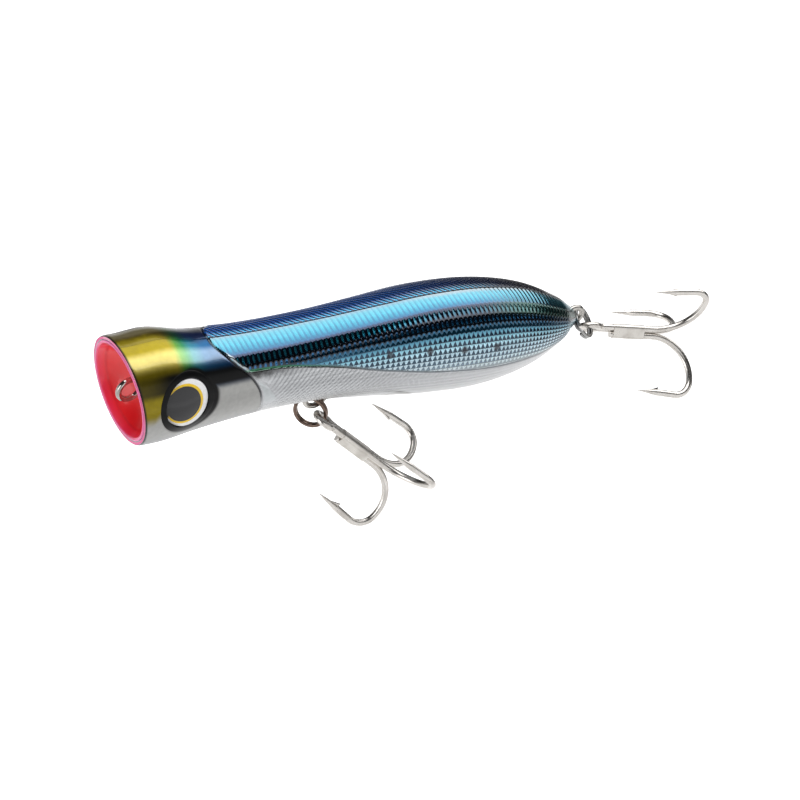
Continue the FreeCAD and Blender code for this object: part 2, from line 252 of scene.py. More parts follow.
body = {
    "length": 120.0,
    "radius": 12.2,
    "mouthX": -2.4,
    "mouthTilt": 14.5,
    "headFrom": 6.6,            # first upright mesh column behind the slanted mouth
    "headStep": 0.36,
    "scalesFrom": 17.2,
    "cellSteps": 8,             # mesh columns in one scale
    "scalePitchFront": 1.31,
    "scalePitchRear": 1.19,
    "rowEdges": [0.5, 6, 11.5, 17, 22.5, 28.5, 34.5, 41, 48.5, 56.5, 69, 91],
    "scaleDepth": 0.20,
    "scaleTop": {-1: 69, 1: 41},        # scales end and ribs begin at this level
    "ribDepth": {-1: 0.03, 1: 0.06},    # left and right half
    "ribSlant": {-1: 0.02, 1: -0.10},   # columns a rib leans over for each degree, left and right
    "latticeDepth": 0.05,
    "grooveDepth": 0.28,
    "grooveWidth": 0.24,
    "gillStep": 0.22,
    "seamRidge": 0.20,
    "seamRidgeWidth": 2.2,
    "wall": 1.5,
    "hollow": (15.0, 102.6),    # inside, from here to here
    "hollowColumns": 46,
    "hollowRows": 25,
    "cupSeat": 11.21,           # radius of the cup's seat at the mouth plane
    "cupSeatDepth": 7.55,
    "lipRound": 0.3,
}
bodyStations = [
    (-0.06, 0.975, -0.2), (0.00, 0.980, 0.0), (0.06, 0.992, 0.5), (0.14, 0.876, 0.4),
    (0.25, 0.807, 1.1), (0.38, 0.810, 1.9), (0.50, 0.899, 2.1), (0.62, 1.000, 2.05),
    (0.74, 0.998, 1.8), (0.85, 0.818, 1.7), (0.94, 0.480, 1.5), (0.985, 0.190, 1.4),
]
bodyEnd = body["mouthX"] + bodyStations[-1][0] * body["length"]

# Engraved lines, in millimetres behind the mouth and degrees up from the side
gillLine = [
    (-90, 31.0), (-40, 30.6), (-17, 30.0), (-10, 29.6), (0, 29.0), (10, 28.3), (20, 27.3), (30, 26.0),
    (38, 24.8), (45, 23.3), (52, 22.0), (60, 20.7), (70, 19.3), (82, 18.4), (90, 18.5),
]
panelLine = [
    (18, 42.0), (25, 39.5), (30, 38.0), (35, 35.5), (40, 30.5), (45, 25.5), (50, 20.0), (55, 14.0),
    (60, 9.0), (70, 2.5), (80, -1.0), (90, -3.5), (100, -6.0), (105, -8.0), (120, -14.0),
]
finLine = [(-12, 34.0), (-8, 33.5), (0, 32.5), (10, 31.0), (20, 29.0), (28, 27.0), (37, 25.0)]

eye = {
    "x": 7.2,
    "angle": 16.0,
    "radius": 5.4,
    "depth": 1.25,
    "discThickness": 0.5,
    "domeRise": 1.2,
    "ringInner": 5.44,
    "ringOuter": 6.7,
    "ringHeight": 0.06,
    "segments": 144,            # of the ring; the dome has two thirds as many
}


# what each point of the skin knows: where it lies, and how strongly each stamping shows there
skinValues = ("along", "around", "level", "column", "row", "gill", "panel", "eyeRing",
              "scaleOn", "ribOn", "latticeOn", "inside", "fin", "fromLip")
offSkin = {"eyeRing": 30, "gill": -9, "panel": -9, "fin": -9, "fromLip": 9}     # far from every line


def bodySection(x):
    # radius and centre height of the skin at x
    radius, height = throughPoints(bodyStations, (np.asarray(x, float) - body["mouthX"]) / body["length"])
    return radius * body["radius"], height


def levelShift(along):
    # the scale rows dip towards the gills and towards the tail
    front = -11 * smoothStep(80 - along, 0, 50)
    rear = np.where(along > 85, -0.0178 * (along - 85) ** 2, 0)
    return front + rear


def aroundFromLevel(level, along):
    # degrees up from the side for a row level; seam and keel stay where they are
    fade = np.where(level > 60, 1 - smoothStep(level, 60, 91), smoothStep(level, -70, -5))
    top = np.where(level > 0, level * 90 / 91, level)
    return top + levelShift(along) * fade


def eyeFrame(side):
    angle = math.radians(eye["angle"])
    outward = np.array([0, side * math.cos(angle), math.sin(angle)])
    across = np.array([0, -side * math.sin(angle), math.cos(angle)])
    radius, height = bodySection(eye["x"])
    crest = np.array([eye["x"], 0, float(height)]) + outward * float(radius)
    return crest, outward, across


def columnPlaces():
    # distances behind the mouth: smooth head, eight steps to a scale, round tail end
    along = np.linspace(0, 125, 5001)
    front, rear = body["scalePitchFront"], body["scalePitchRear"]
    pitch = front + (rear - front) * smoothStep(along, 60, 100)
    count = np.concatenate([[0], np.cumsum(np.diff(along) / pitch[1:])])
    first = np.interp(body["scalesFrom"], along, count)
    last = np.interp(bodyEnd - body["mouthX"] - 1.0, along, count)
    cells = np.arange(math.ceil(first * body["cellSteps"]), last * body["cellSteps"]) / body["cellSteps"]
    scaled = np.interp(cells, count, along)
    head = np.arange(body["headFrom"], scaled[0] - 0.2, body["headStep"])
    return np.concatenate([head, scaled]), lambda a: np.interp(a, along, count)


def rowLevels():
    edges = body["rowEdges"]
    levels = list(np.arange(-90, -24, 2.2)) + list(np.arange(-24, 0, 1.25))
    for low, high in zip(edges[:-1], edges[1:]):
        steps = 6 if high - low < 9 else 8 if high - low < 15 else 13
        levels += list(np.linspace(low, high, steps, endpoint=False))
    return np.array(levels + [90.7, 91.0])


def shellPiece(side, name):
    places, columnAt = columnPlaces()
    levels = rowLevels()
    tilt = math.radians(body["mouthTilt"])
    leadSteps = np.linspace(0, 1, 18, endpoint=False) ** 1.3
    rowCount = len(levels)
    columns = []                # each entry: positions and values of one column over all rows

    def onSkin(along, around):
        x = along + body["mouthX"]
        radius, height = bodySection(x)
        angle = np.radians(around)
        return x, radius, height, angle

    # where the slanted mouth plane meets the skin on each row
    along = np.zeros(rowCount)
    for _ in range(12):
        x, radius, height, angle = onSkin(along, aroundFromLevel(levels, along))
        along = -(height + radius * np.sin(angle)) * math.tan(tilt)
    mouthAlong = along
    crest, outward, across = eyeFrame(side)

    def skinColumn(along):
        around = aroundFromLevel(levels, along)
        x, radius, height, angle = onSkin(along, around)
        gill = along - throughPoints(gillLine, around)[0]
        panel = np.radians(around - throughPoints(panelLine, along)[0]) * radius
        fin = along - throughPoints(finLine, around)[0]
        finOn = smoothStep(around, -10, 0) * (1 - smoothStep(around, 30, 37))
        behind = smoothStep(gill, 0.0, 0.6)
        groove = np.exp(-(gill / body["grooveWidth"]) ** 2) * body["grooveDepth"]
        groove = groove * smoothStep(around, -55, -15)
        cut = np.exp(-(panel / body["grooveWidth"]) ** 2) * body["grooveDepth"] * behind
        cut = cut * (1 - smoothStep(along, 104, 112))
        fold = np.exp(-(fin / 0.3) ** 2) * 0.12 * finOn
        plate = np.exp(-np.maximum(gill, 0) / 2.4) * behind * body["gillStep"]
        plate = plate * smoothStep(around, 5, 40)
        seamDistance = np.radians(90 - around) * radius
        ridge = body["seamRidge"] * np.exp(-np.maximum(seamDistance, 0) / body["seamRidgeWidth"])
        ridge = ridge * smoothStep(along, 14, 24) * (1 - smoothStep(along, 100, 112))
        lift = plate + ridge - groove - cut - fold
        seamOn = smoothStep(along, 15, 19)
        lift = lift - (0.09 * (levels > 90.8) + 0.02 * (levels > 90.5)) * seamOn
        lift = lift - 0.06 * (levels < -89.9)
        lipRound = body["lipRound"] * (1 - smoothStep(along - mouthAlong, 0.0, 0.55))
        reach = radius + lift - lipRound * 0.6
        point = np.stack([x, side * reach * np.cos(angle), height + reach * np.sin(angle)], 1)
        fromEye = point - crest
        away = fromEye @ outward
        ring = np.hypot(fromEye[:, 0], fromEye @ across)
        inSocket = (ring < 6.0) & (away > -6)
        floorDepth = -(eye["depth"] + eye["discThickness"] + 0.06)
        point = np.where(inSocket[:, None], point + outward * (floorDepth - away)[:, None], point)
        scaleTop = body["scaleTop"][side]
        scaleOn = behind * smoothStep(panel, 0.1, 0.5) * (1 - smoothStep(levels, scaleTop, scaleTop + 1.5))
        scaleOn = scaleOn * (1 - smoothStep(along, 112, 116))
        ribOn = behind * smoothStep(levels, scaleTop, scaleTop + 2) * (1 - smoothStep(levels, 89.5, 90.5))
        ribOn = ribOn * (1 - smoothStep(along, 106, 112))
        latticeOn = smoothStep(gill, 1.0, 6.0) * (1 - smoothStep(panel, -0.6, -0.1))
        latticeOn = latticeOn * smoothStep(around, -75, -30) * (1 - smoothStep(along, 104, 112))
        row = np.interp(levels, body["rowEdges"], np.arange(len(body["rowEdges"])))
        row = np.where(levels < body["rowEdges"][0], (levels - body["rowEdges"][0]) / 5.5, row)
        column = columnAt(np.maximum(along, 0)) * np.ones(rowCount)
        values = [along * np.ones(rowCount), around, levels, column, row, gill, panel,
                  np.where(away > -6, ring, 30), scaleOn, ribOn, latticeOn, np.zeros(rowCount), fin,
                  along - mouthAlong]
        columns.append((point, np.stack(values, 1)))

    plain = np.zeros((rowCount, len(skinValues)))
    for key, value in {**offSkin, "around": levels, "level": levels, "inside": 1}.items():
        plain[:, skinValues.index(key)] = value
    inward = np.array([math.cos(tilt), 0, math.sin(tilt)])
    upward = np.array([-math.sin(tilt), 0, math.cos(tilt)])
    sideways = np.array([0, side, 0])
    centre = np.array([body["mouthX"], 0, 0])
    turn = np.radians(np.where(levels > 0, levels * 90 / 91, levels))
    around = np.cos(turn)[:, None] * sideways + np.sin(turn)[:, None] * upward
    depth, rim = body["cupSeatDepth"], body["cupSeat"]
    ball = (rim ** 2 + depth ** 2) / (2 * depth)
    opening = math.asin(rim / ball)
    for share in np.linspace(0, 1, 12):
        angle = opening * share
        sink = depth - ball + ball * math.cos(angle)
        columns.append((centre + inward * sink + around * ball * math.sin(angle), plain))
    x, radius, height, angle = onSkin(mouthAlong, aroundFromLevel(levels, mouthAlong))
    edge = np.stack([x, side * radius * np.cos(angle), height + radius * np.sin(angle)], 1)
    lipValues = plain.copy()
    lipValues[:, skinValues.index("inside")] = 0.5
    seat = centre + around * rim
    cupColumns = len(columns) + 2
    columns.append((seat + (edge - seat) * 0.25, lipValues))
    columns.append((seat + (edge - seat) * 0.66, lipValues))
    for step in leadSteps:
        skinColumn(mouthAlong + (places[0] - 0.3 - mouthAlong) * step)
    for place in places:
        skinColumn(np.full(rowCount, place))
    endAlong = bodyEnd - body["mouthX"]
    for back in (0.7, 0.4, 0.2):
        skinColumn(np.full(rowCount, endAlong - back))
    endRadius, endHeight = bodySection(bodyEnd)
    turn = np.radians(aroundFromLevel(levels, np.full(rowCount, endAlong)))
    spokes = np.cos(turn)[:, None] * sideways + np.sin(turn)[:, None] * np.array([0, 0, 1.0])
    tailValues = columns[-1][1]
    for share, back in ((0.97, 0.07), (0.9, 0.0), (0.55, 0.0), (0.0, 0.0)):
        hub = np.array([bodyEnd - back, 0, float(endHeight)])
        columns.append((hub + spokes * float(endRadius) * share, tailValues))

    columnCount = len(columns)
    positions = np.stack([c[0] for c in columns], 1).reshape(-1, 3)
    values = np.stack([c[1] for c in columns], 1).reshape(-1, len(skinValues))
    positions[:columnCount, 1] = 0
    positions[-columnCount:, 1] = 0
    faces = gridFaces(rowCount, columnCount)

    # the hollow inside, and the flat joint face between it and the skin
    first = len(positions)
    wide, tall = body["hollowColumns"], body["hollowRows"]
    hollowX = np.linspace(*body["hollow"], wide)
    hollowTurn = np.radians(np.linspace(-90, 90, tall))
    radius, height = bodySection(hollowX)
    radius = radius - body["wall"]
    inner = np.stack([np.broadcast_to(hollowX, (tall, wide)), side * np.cos(hollowTurn)[:, None] * radius,
                      height + np.sin(hollowTurn)[:, None] * radius], 2).reshape(-1, 3)
    inner[:wide, 1] = 0
    inner[-wide:, 1] = 0
    innerValues = np.tile(plain[:1], (len(inner), 1))
    positions = np.concatenate([positions, inner])
    values = np.concatenate([values, innerValues])
    faces += gridFaces(tall, wide, first)
    faces.append([first + row * wide for row in range(tall)])
    faces.append([first + row * wide + wide - 1 for row in range(tall)])
    bottom = list(range(columnCount))
    top = [(rowCount - 1) * columnCount + c for c in range(columnCount)]
    innerBottom = [first + c for c in range(wide)]
    innerTop = [first + (tall - 1) * wide + c for c in range(wide)]
    ofCup = np.arange(columnCount) < cupColumns
    nose = int(np.argmin(np.where(ofCup, np.inf, np.abs(positions[top, 0] - hollowX[0]))))
    tail = int(np.argmin(np.abs(positions[top, 0] - hollowX[-1])))
    faces.append(top[:nose + 1] + [innerTop[0], innerBottom[0]] + bottom[nose:0:-1])
    faces.append(top[nose:tail + 1] + innerTop[::-1])
    faces.append(bottom[nose:tail + 1] + innerBottom[::-1])
    faces.append(top[tail:] + bottom[tail:-1][::-1] + [innerBottom[-1], innerTop[-1]])
    ringPositions, ringFaces, ringValues = eyeRing(side, len(positions))
    positions = np.concatenate([positions, ringPositions])
    values = np.concatenate([values, ringValues])
    faces += ringFaces
    return objectFrom(name, positions, faces, dict(zip(skinValues, values.T)))


def eyeRing(side, first):
    # raised moulded ring round the eye, its foot following the skin
    crest, outward, across = eyeFrame(side)
    crestRadius = float(bodySection(eye["x"])[0])
    crestHeight = float(bodySection(eye["x"])[1])
    inner, outer, high = eye["ringInner"], eye["ringOuter"], eye["ringHeight"]
    section = [(inner, -1.5), (inner, high * 0.2), (inner + 0.06, high * 0.6), (inner + 0.2, high * 0.92),
               (inner + 0.4, high), (outer - 0.4, high), (outer - 0.18, high * 0.86),
               (outer - 0.04, high * 0.5), (outer + 0.05, 0.04), (outer + 0.08, -0.4), (outer - 0.5, -1.0)]
    segments = eye["segments"]
    points = []
    for turn in np.linspace(0, 2 * math.pi, segments, endpoint=False):
        for reach, rise in section:
            acrossBy = reach * math.sin(turn)
            x = eye["x"] + reach * math.cos(turn)
            radius, height = bodySection(x)
            drift = float(height) - crestHeight
            square = acrossBy - drift * across[2]
            skin = math.sqrt(max(float(radius) ** 2 - square ** 2, 0)) - crestRadius + drift * outward[2]
            place = crest + across * acrossBy + outward * (skin + rise)
            points.append((x, place[1], place[2]))
    count = len(section)
    faces = []
    for spoke in range(segments):
        here = first + spoke * count
        there = first + (spoke + 1) % segments * count
        for point in range(count):
            beside = (point + 1) % count
            faces.append((here + point, there + point, there + beside, here + beside))
    values = np.zeros((len(points), len(skinValues)))
    reaches = np.tile([min(reach, 6.5) for reach, rise in section], segments)
    ringValues = {"along": 10, "around": eye["angle"], "eyeRing": reaches,
                  "gill": -9, "fin": -9, "fromLip": 9}
    for key, value in ringValues.items():
        values[:, skinValues.index(key)] = value
    return np.array(points), faces, values


# Geometry Nodes: triangular scales, back ribs and belly lattice, raised from the skin's own values

def reliefTree():
    tree = bpy.data.node_groups.new("scaleRelief", "GeometryNodeTree")
    for name, kind in (("Geometry", "NodeSocketGeometry"), ("Scale depth", "NodeSocketFloat"),
                       ("Rib depth", "NodeSocketFloat"), ("Lattice depth", "NodeSocketFloat"),
                       ("Rib slant", "NodeSocketFloat"), ("Foil", "NodeSocketMaterial")):
        tree.interface.new_socket(name=name, in_out="INPUT", socket_type=kind)
    tree.interface.new_socket(name="Geometry", in_out="OUTPUT", socket_type="NodeSocketGeometry")
    given = addNode(tree, "NodeGroupInput")
    read = {}
    for key in ("column", "row", "level", "scaleOn", "ribOn", "latticeOn"):
        read[key] = addNode(tree, "GeometryNodeInputNamedAttribute", {"Name": key}, data_type="FLOAT")
    across = addNode(tree, "ShaderNodeMath", [read["column"]], operation="FRACT")
    across = addNode(tree, "ShaderNodeMath", [across, 2.0, -1.0], operation="MULTIPLY_ADD")
    across = addNode(tree, "ShaderNodeMath", [across], operation="ABSOLUTE")
    climb = addNode(tree, "ShaderNodeMath", [read["row"]], operation="FRACT")
    drop = addNode(tree, "ShaderNodeMath", [1.0, climb], operation="SUBTRACT")
    upward = addNode(tree, "ShaderNodeMath", [across, drop], operation="LESS_THAN")
    high = addNode(tree, "ShaderNodeMath", [upward, drop], operation="MULTIPLY")
    low = addNode(tree, "ShaderNodeMath", [1.0, upward], operation="SUBTRACT")
    low = addNode(tree, "ShaderNodeMath", [low, climb, high], operation="MULTIPLY_ADD")
    scale = addNode(tree, "ShaderNodeMath", [low, read["scaleOn"]], operation="MULTIPLY")
    scale = addNode(tree, "ShaderNodeMath", [scale, given.outputs["Scale depth"]], operation="MULTIPLY")
    lean = addNode(tree, "ShaderNodeMath", [read["level"], given.outputs["Rib slant"], read["column"]],
                   operation="MULTIPLY_ADD")
    wave = addNode(tree, "ShaderNodeMath", [lean, 2 * math.pi], operation="MULTIPLY")
    wave = addNode(tree, "ShaderNodeMath", [wave], operation="SINE")
    rib = addNode(tree, "ShaderNodeMath", [wave, read["ribOn"]], operation="MULTIPLY")
    rib = addNode(tree, "ShaderNodeMath", [rib, given.outputs["Rib depth"], scale],
                  operation="MULTIPLY_ADD")
    diagonals = []
    for sign in (0.5, -0.5):
        diagonal = addNode(tree, "ShaderNodeMath", [read["row"], sign, read["column"]],
                           operation="MULTIPLY_ADD")
        diagonal = addNode(tree, "ShaderNodeMath", [diagonal, 2 * math.pi], operation="MULTIPLY")
        diagonals.append(addNode(tree, "ShaderNodeMath", [diagonal], operation="SINE"))
    lattice = addNode(tree, "ShaderNodeMath", diagonals, operation="MULTIPLY")
    lattice = addNode(tree, "ShaderNodeMath", [lattice, read["latticeOn"]], operation="MULTIPLY")
    total = addNode(tree, "ShaderNodeMath", [lattice, given.outputs["Lattice depth"], rib],
                    operation="MULTIPLY_ADD")
    normal = addNode(tree, "GeometryNodeInputNormal")
    offset = addNode(tree, "ShaderNodeVectorMath", {0: normal, "Scale": total}, operation="SCALE")
    raised = addNode(tree, "GeometryNodeSetPosition", {"Geometry": given, "Offset": offset})
    whole = addNode(tree, "GeometryNodeRealizeInstances", [raised])
    coated = addNode(tree, "GeometryNodeSetMaterial", {"Geometry": whole,
                                                       "Material": given.outputs["Foil"]})
    addNode(tree, "NodeGroupOutput", [coated])
    return tree


def applyTree(piece, tree, settings):
    modifier = piece.modifiers.new(tree.name, "NODES")
    modifier.node_group = tree
    for item in tree.interface.items_tree:
        if item.in_out == "INPUT" and item.name in settings:
            modifier[item.identifier] = settings[item.name]
    graph = bpy.context.evaluated_depsgraph_get()
    result = bpy.data.meshes.new_from_object(piece.evaluated_get(graph), preserve_all_data_layers=True,
                                             depsgraph=graph)
    piece.modifiers.clear()
    piece.data = result
    return piece


# Body finish

foil = {
    # colours by level, in degrees up the side, for the ground and for the marks stamped on each scale
    # the near-black stripe from level 48 to 68 and the cyan band from 70 to 90 are partly the foil's own
    # colours and partly painted reflection, of the dark room and of the softbox
    "ground": [(-30, "#C4C6C8"), (2, "#CCD8DC"), (10, "#CCE2EC"), (18, "#C4E0EE"), (26, "#B0DAEA"),
               (33, "#8CC8DC"), (39, "#5CA4C0"), (43, "#246484"), (48, "#0A283E"), (55, "#061226"),
               (63, "#06142C"), (68.8, "#0A2248"), (70, "#0E3E6C"), (74, "#1E7A98"), (79, "#3A98AE"),
               (85, "#4C98AA"), (90, "#748A98"), (100, "#748A98")],
    # from level 43 to 69 the blue and cyan marks are painted glints where scale facets catch the softbox;
    # lower down the marks are the foil's own dark print
    "mark": [(-30, "#C4C6C8"), (2, "#A0AEB6"), (9, "#60788A"), (17, "#2A4A60"), (26, "#12344C"),
             (33, "#10344E"), (39, "#124462"), (43, "#1C6488"), (48, "#1C78A8"), (56, "#1868A0"),
             (57, "#167CA4"), (66, "#2CA0BC"), (69, "#1A6A94"), (100, "#1A6A94")],
    # colours by millimetres behind the mouth: candy on the head, a darker copy of it as painted shade on the
    # crown, and the right half's back, also darkened as painted shade
    "head": [(0, "#B4A012"), (7.5, "#BCA816"), (9.3, "#5CA02C"), (10.8, "#109054"), (12.6, "#0E8A9C"),
             (15.5, "#0C6CA4"), (22, "#0A4E8C")],
    "paintedShadeHead": [(0, "#5A480E"), (7.5, "#5A4C10"), (10.5, "#0E4A2C"), (13.5, "#102A5C"), (22, "#141A44")],
    "back": [(20, "#2264C4"), (60, "#1E58A8"), (86, "#142C5A"), (100, "#0C1020")],
    "black": "#060708",
    "scaleShape": 1.7,          # how much narrower than tall the upper marks are
    "upperRows": (43, 46),      # triangles give way to ovals between these levels
    "spots": [(60, 28.0), (70, 26.5), (79, 23.5), (88, 21.5)],
    "spotRadius": 0.7,
    "degree": 0.21,             # millimetres round the side for one degree
    # coats in the order they go on: colour, then where (value, from, to, strength at each end)
    "flankCoats": [
        ("#06142C", [("along", 50, 80, 0, 0.7), ("level", 50, 58), ("level", 66, 72, 1, 0)]),   # dusk aft
        ("#0A1C2A", [("climb", 0.02, 0.2, 0.5, 0), "scaleOn"]),                     # foot of each row
        ("#1E6450", [("along", 84, 100), ("level", 50, 60), ("level", 70, 84, 0.55, 0)]),   # green tail
        # darker blue in the rib valleys on the left half is painted shade
        ("#1C5C80", [("stripe", -0.9, 0.3, 1, 0), "ribOn", ("level", 72, 88, 0.8, 0.3)]),   # rib valleys
    ],
    # the right half's back is painted darker than the left as shade, with bright rib crests as painted
    # glints
    "backEnds": ("#30B4E0", [("level", 82, 89, 0, 0.8), ("along", 80, 96, 1, 0)]),  # ribs at the seam
    "farBackPaintedShade": ("#04060F", 0.72),
    "lineCoats": [
        ("#8A979C", [("level", 84, 89), ("along", 64, 78, 0, 0.7), "near"]),        # silver by the seam
        ("#0A1018", [("level", 90.2, 90.9, 0, 0.9), ("along", 17, 20)]),            # seam
        (("around", -45, -5, "#8E8F91", "#C6C8CB"), [("panel", -0.15, 0.05, 1, 0)]),    # pearl belly
        ("#060708", [("ragged", -1.6, 0.4), ("panel", -0.1, 0.3, 1, 0), ("along", 27, 42, 0.97, 0)]),
        ("#6E7276", [("weave", -0.2, 0.8), "latticeOn", ("along", 45, 90, 0.55, 0.2)]),     # stamping
        (("along", 34, 52, "#0E7A50", "#4A5660"), [("fromPanel", 0.10, 0.36, 0.85, 0)]),    # panel line
        # the pale coat just behind the gill line is a painted highlight on the raised edge of the gill plate
        ("#C8D4D8", [("gill", 0.25, 0.5), ("gill", 0.8, 1.3, 1, 0), ("around", 34, 44),
                     ("around", 62, 68, 0.75, 0)]),                                 # gill's raised edge
        ("#C6CCCE", [("gill", 0.4, 0.9), ("fin", -0.7, -0.1, 1, 0), ("around", 36, 40, 0.85, 0),
                     ("around", -20, 0)]),                                          # fin fold
    ],
    "headSilver": ("around", -48, -12, "#77787B", "#ABABA9"),
    # the crown and the right half of the head take the darker candy, as painted shade
    "shadedCrown": [("over", 86, 100)],
    "goldFoot": [("overFoot", 0, 15)],
    # painted highlight on the head: a cream band where the softbox reflects, with the candy outside it
    # painted darker
    "paintedSheen": [("around", 52, 61), ("around", 70, 80, 1, 0)],
    "paintedSheenTint": ("#D8D4B4", 0.2),
    "offPaintedSheen": "#C8C8C8",
    "eyeHalo": [("eyeReach", 6.7, 7.7, 1, 0)],
    "cheek": [("around", 25, 34), ("around", 46, 62, 1, 0), ("along", -1, 6, 0.75, 1)],
    "grooveCoats": [
        ("#0A0F1A", [("fromGill", 0.12, 0.42, 0.9, 0), ("around", -20, 10)]),
        ("#141018", [("fromLip", 0.2, 0.55, 0.9, 0)]),
    ],
    "bare": ("inside", 0.6, 0.9, "#F4549C", "#B9BCC0"),     # pink lip, raw grey plastic behind it
    "blackGloss": 0.25,
}


def foilMaterial():
    # hot-stamped foil under candy lacquer: mirror-like colour that goes black where it sees a dark room
    material, tree, shader = newMaterial("hotStampedFoil")
    read = {key: addNode(tree, "ShaderNodeAttribute", attribute_name=key).outputs["Fac"]
            for key in skinValues}
    spot = addNode(tree, "ShaderNodeTexCoord").outputs["Object"]

    def tint(colour):
        # a hex colour, or a blend of two over a value
        if isinstance(colour, str):
            return hexColour(colour)
        if isinstance(colour, tuple):
            value, low, high, first, second = colour
            place = addNode(tree, "ShaderNodeMapRange", [read[value], low, high],
                            interpolation_type="SMOOTHSTEP")
            return addNode(tree, "ShaderNodeMixRGB", [place, hexColour(first), hexColour(second)])
        return colour

    def where(zones):
        # soft steps multiplied together; a bare name counts as it stands
        total = None
        for zone in zones:
            if isinstance(zone, str):
                step = read[zone]
            else:
                step = addNode(tree, "ShaderNodeMapRange", [read[zone[0]], *map(float, zone[1:])],
                               interpolation_type="SMOOTHSTEP")
            if total is not None:
                step = addNode(tree, "ShaderNodeMath", [total, step], operation="MULTIPLY")
            total = step
        return total

    def coat(under, colour, zones):
        return addNode(tree, "ShaderNodeMixRGB", [where(zones), tint(under), tint(colour)])

    ramps = {}
    for key, value in (("ground", "level"), ("mark", "level"), ("head", "along"), ("paintedShadeHead", "along"),
                       ("back", "along")):
        low, high = foil[key][0][0], foil[key][-1][0]
        place = addNode(tree, "ShaderNodeMapRange", [read[value], float(low), float(high)])
        stops = [((number - low) / (high - low), colour) for number, colour in foil[key]]
        ramps[key] = addNode(tree, "ShaderNodeValToRGB", [place], stops=stops)

    # one scale: upright triangle on the flank, tall oval higher up
    across = addNode(tree, "ShaderNodeMath", [read["column"]], operation="FRACT")
    across = addNode(tree, "ShaderNodeMath", [across, 2.0, -1.0], operation="MULTIPLY_ADD")
    across = addNode(tree, "ShaderNodeMath", [across], operation="ABSOLUTE")
    read["climb"] = addNode(tree, "ShaderNodeMath", [read["row"]], operation="FRACT")
    drop = addNode(tree, "ShaderNodeMath", [1.0, read["climb"]], operation="SUBTRACT")
    read["slope"] = addNode(tree, "ShaderNodeMath", [drop, across], operation="SUBTRACT")
    wide = addNode(tree, "ShaderNodeMath", [across, foil["scaleShape"]], operation="MULTIPLY")
    middle = addNode(tree, "ShaderNodeMath", [read["climb"], 2.0, -1.1], operation="MULTIPLY_ADD")
    fromMiddle = addNode(tree, "ShaderNodeCombineXYZ", [wide, middle, 0.0])
    reach = addNode(tree, "ShaderNodeVectorMath", [fromMiddle], operation="LENGTH")
    read["fromMiddle"] = reach.outputs["Value"]
    shapes = {0: where([("level", *foil["upperRows"])]), 2: where([("slope", -0.06, 0.06)]),
              3: where([("fromMiddle", 0.6, 0.9, 1, 0)])}
    stamped = addNode(tree, "ShaderNodeMix", shapes, data_type="FLOAT")
    stamped = addNode(tree, "ShaderNodeMath", [stamped, read["scaleOn"]], operation="MULTIPLY")
    paint = addNode(tree, "ShaderNodeMixRGB", [stamped, ramps["ground"], ramps["mark"]])

    # ribs, leaning more on the right half
    sideways = addNode(tree, "ShaderNodeSeparateXYZ", [spot]).outputs["Y"]
    read["far"] = addNode(tree, "ShaderNodeMath", [sideways, 0.0], operation="GREATER_THAN")
    read["near"] = addNode(tree, "ShaderNodeMath", [1.0, read["far"]], operation="SUBTRACT")
    left, right = body["ribSlant"][-1], body["ribSlant"][1]
    slant = addNode(tree, "ShaderNodeMath", [read["far"], right - left, left], operation="MULTIPLY_ADD")
    lean = addNode(tree, "ShaderNodeMath", [read["level"], slant, read["column"]], operation="MULTIPLY_ADD")
    lean = addNode(tree, "ShaderNodeMath", [lean, 2 * math.pi], operation="MULTIPLY")
    read["stripe"] = addNode(tree, "ShaderNodeMath", [lean], operation="SINE")
    for colour, zones in foil["flankCoats"]:
        paint = coat(paint, colour, zones)

    # purple-black spots along the side
    for along, around in foil["spots"]:
        dx = addNode(tree, "ShaderNodeMath", [read["along"], float(along)], operation="SUBTRACT")
        dz = addNode(tree, "ShaderNodeMath", [read["around"], float(around)], operation="SUBTRACT")
        dz = addNode(tree, "ShaderNodeMath", [dz, foil["degree"]], operation="MULTIPLY")
        fromSpot = addNode(tree, "ShaderNodeCombineXYZ", [dx, dz, 0.0])
        reach = addNode(tree, "ShaderNodeVectorMath", [fromSpot], operation="LENGTH")
        read["spot"] = reach.outputs["Value"]
        edge = (foil["spotRadius"] - 0.2, foil["spotRadius"] + 0.5)
        paint = coat(paint, "#140C20", [("spot", *edge, 0.85, 0)])

    # the right half's back, painted darker than the left as shade: navy in the rib valleys, bright blue bars
    # on the rib crests as painted glints, cyan where they run into the seam
    shade, amount = foil["farBackPaintedShade"]
    navy = addNode(tree, "ShaderNodeMixRGB", [amount, ramps["back"], hexColour(shade)])
    bars = coat(ramps["back"], *foil["backEnds"])
    farBackShadedPaint = coat(navy, bars, [("stripe", -0.2, 0.5)])
    farOn = where(["far", ("level", body["scaleTop"][1] - 3, body["scaleTop"][1] + 1)])
    paint = addNode(tree, "ShaderNodeMixRGB", [farOn, paint, farBackShadedPaint])

    # seam, belly, panel line, gill edge and fin
    ragged = addNode(tree, "ShaderNodeTexNoise", {"Vector": spot, "Scale": 700.0, "Detail": 2.0})
    read["ragged"] = addNode(tree, "ShaderNodeMath", [ragged, 2.0, read["panel"]], operation="MULTIPLY_ADD")
    weave = addNode(tree, "ShaderNodeMath", [read["row"], -0.62, read["column"]], operation="MULTIPLY_ADD")
    weave = addNode(tree, "ShaderNodeMath", [weave, 2 * math.pi], operation="MULTIPLY")
    read["weave"] = addNode(tree, "ShaderNodeMath", [weave], operation="SINE")
    read["fromPanel"] = addNode(tree, "ShaderNodeMath", [read["panel"]], operation="ABSOLUTE")
    read["fromGill"] = addNode(tree, "ShaderNodeMath", [read["gill"]], operation="ABSOLUTE")
    for colour, zones in foil["lineCoats"]:
        paint = coat(paint, colour, zones)
